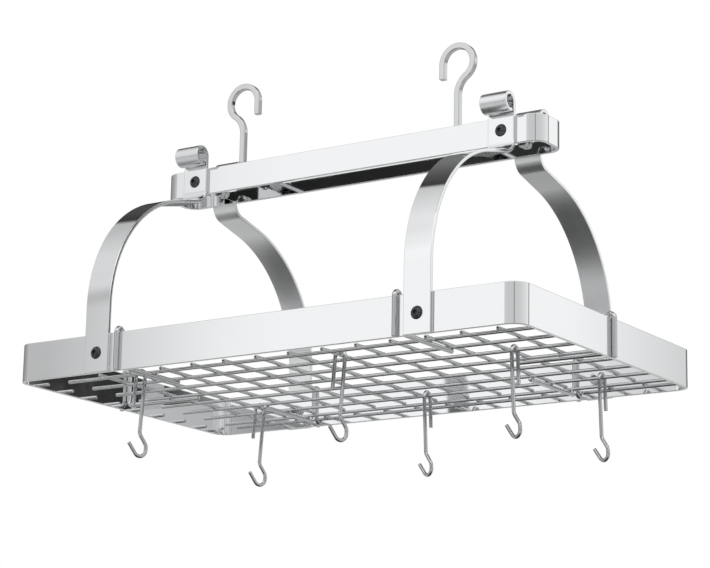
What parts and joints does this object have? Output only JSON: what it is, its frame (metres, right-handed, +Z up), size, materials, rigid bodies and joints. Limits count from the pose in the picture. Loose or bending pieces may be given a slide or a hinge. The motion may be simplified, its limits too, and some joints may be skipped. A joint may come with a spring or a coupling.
{
  "type": "hanging pot rack",
  "caption": "Rectangular flat-bar pot rack with a lift-out wire grid, bent arms to a narrow top bar, ceiling hooks and swinging wire pot hooks.",
  "frame": {"origin": "middle of the line on which the two ceiling hooks bear on what holds them", "axes": "+X along the long side, +Y from the front to the back, +Z up"},
  "size_m": [0.7754, 0.476, 0.5449],
  "materials": {
    "polished_bar": "mirror-polished flat bar",
    "polished_wire": "bright plated wire and rod",
    "dark_fasteners": "black oxide on steel, satin"
  },
  "bodies": {
    "frame": {"basket_band": "polished_bar", "top_bar": "polished_bar", "arm_front_left": "polished_bar", "arm_front_right": "polished_bar", "arm_back_left": "polished_bar", "arm_back_right": "polished_bar", "grid_clip_front_left": "polished_wire", "grid_clip_front_right": "polished_wire", "grid_clip_back_left": "polished_wire", "grid_clip_back_right": "polished_wire", "grid_clip_left": "polished_wire", "grid_clip_right": "polished_wire", "hanger_bridge_left": "polished_wire", "hanger_bridge_right": "polished_wire", "ceiling_hook_left": "polished_wire", "ceiling_hook_right": "polished_wire", "lower_bolts": "dark_fasteners", "upper_bolts": "dark_fasteners", "ceiling_hook_nuts": "dark_fasteners", "lower_nuts": "polished_wire", "upper_nuts": "polished_wire"},
    "grid": {"grid_panel": "polished_wire"},
    "hook_1": {"pot_hook_1": "polished_wire"},
    "hook_2": {"pot_hook_2": "polished_wire"},
    "hook_3": {"pot_hook_3": "polished_wire"},
    "hook_4": {"pot_hook_4": "polished_wire"},
    "hook_5": {"pot_hook_5": "polished_wire"},
    "hook_6": {"pot_hook_6": "polished_wire"}
  },
  "joints": [
    {"name": "grid_lift", "type": "slide", "parent": "frame", "child": "grid", "axis": [0, 0, 1], "range_m": [0, 0.045]},
    {"name": "pot_hook_1_swing", "type": "hinge", "parent": "grid", "child": "hook_1", "pos_m": [-0.254, -0.12496, -0.42087], "axis": [0, 1, 0], "range_deg": [-30, 30]},
    {"name": "pot_hook_2_swing", "type": "hinge", "parent": "grid", "child": "hook_2", "pos_m": [-0.254, 0.14784, -0.42087], "axis": [0, 1, 0], "range_deg": [-30, 30]},
    {"name": "pot_hook_3_swing", "type": "hinge", "parent": "grid", "child": "hook_3", "pos_m": [0.0508, -0.10616, -0.42087], "axis": [0, 1, 0], "range_deg": [-30, 30]},
    {"name": "pot_hook_4_swing", "type": "hinge", "parent": "grid", "child": "hook_4", "pos_m": [0.01778, 0.158, -0.42528], "axis": [1, 0, 0], "range_deg": [-30, 30]},
    {"name": "pot_hook_5_swing", "type": "hinge", "parent": "grid", "child": "hook_5", "pos_m": [0.26924, -0.0452, -0.42528], "axis": [1, 0, 0], "range_deg": [-30, 30]},
    {"name": "pot_hook_6_swing", "type": "hinge", "parent": "grid", "child": "hook_6", "pos_m": [0.28448, 0.158, -0.42528], "axis": [1, 0, 0], "range_deg": [-30, 30]}
  ]
}
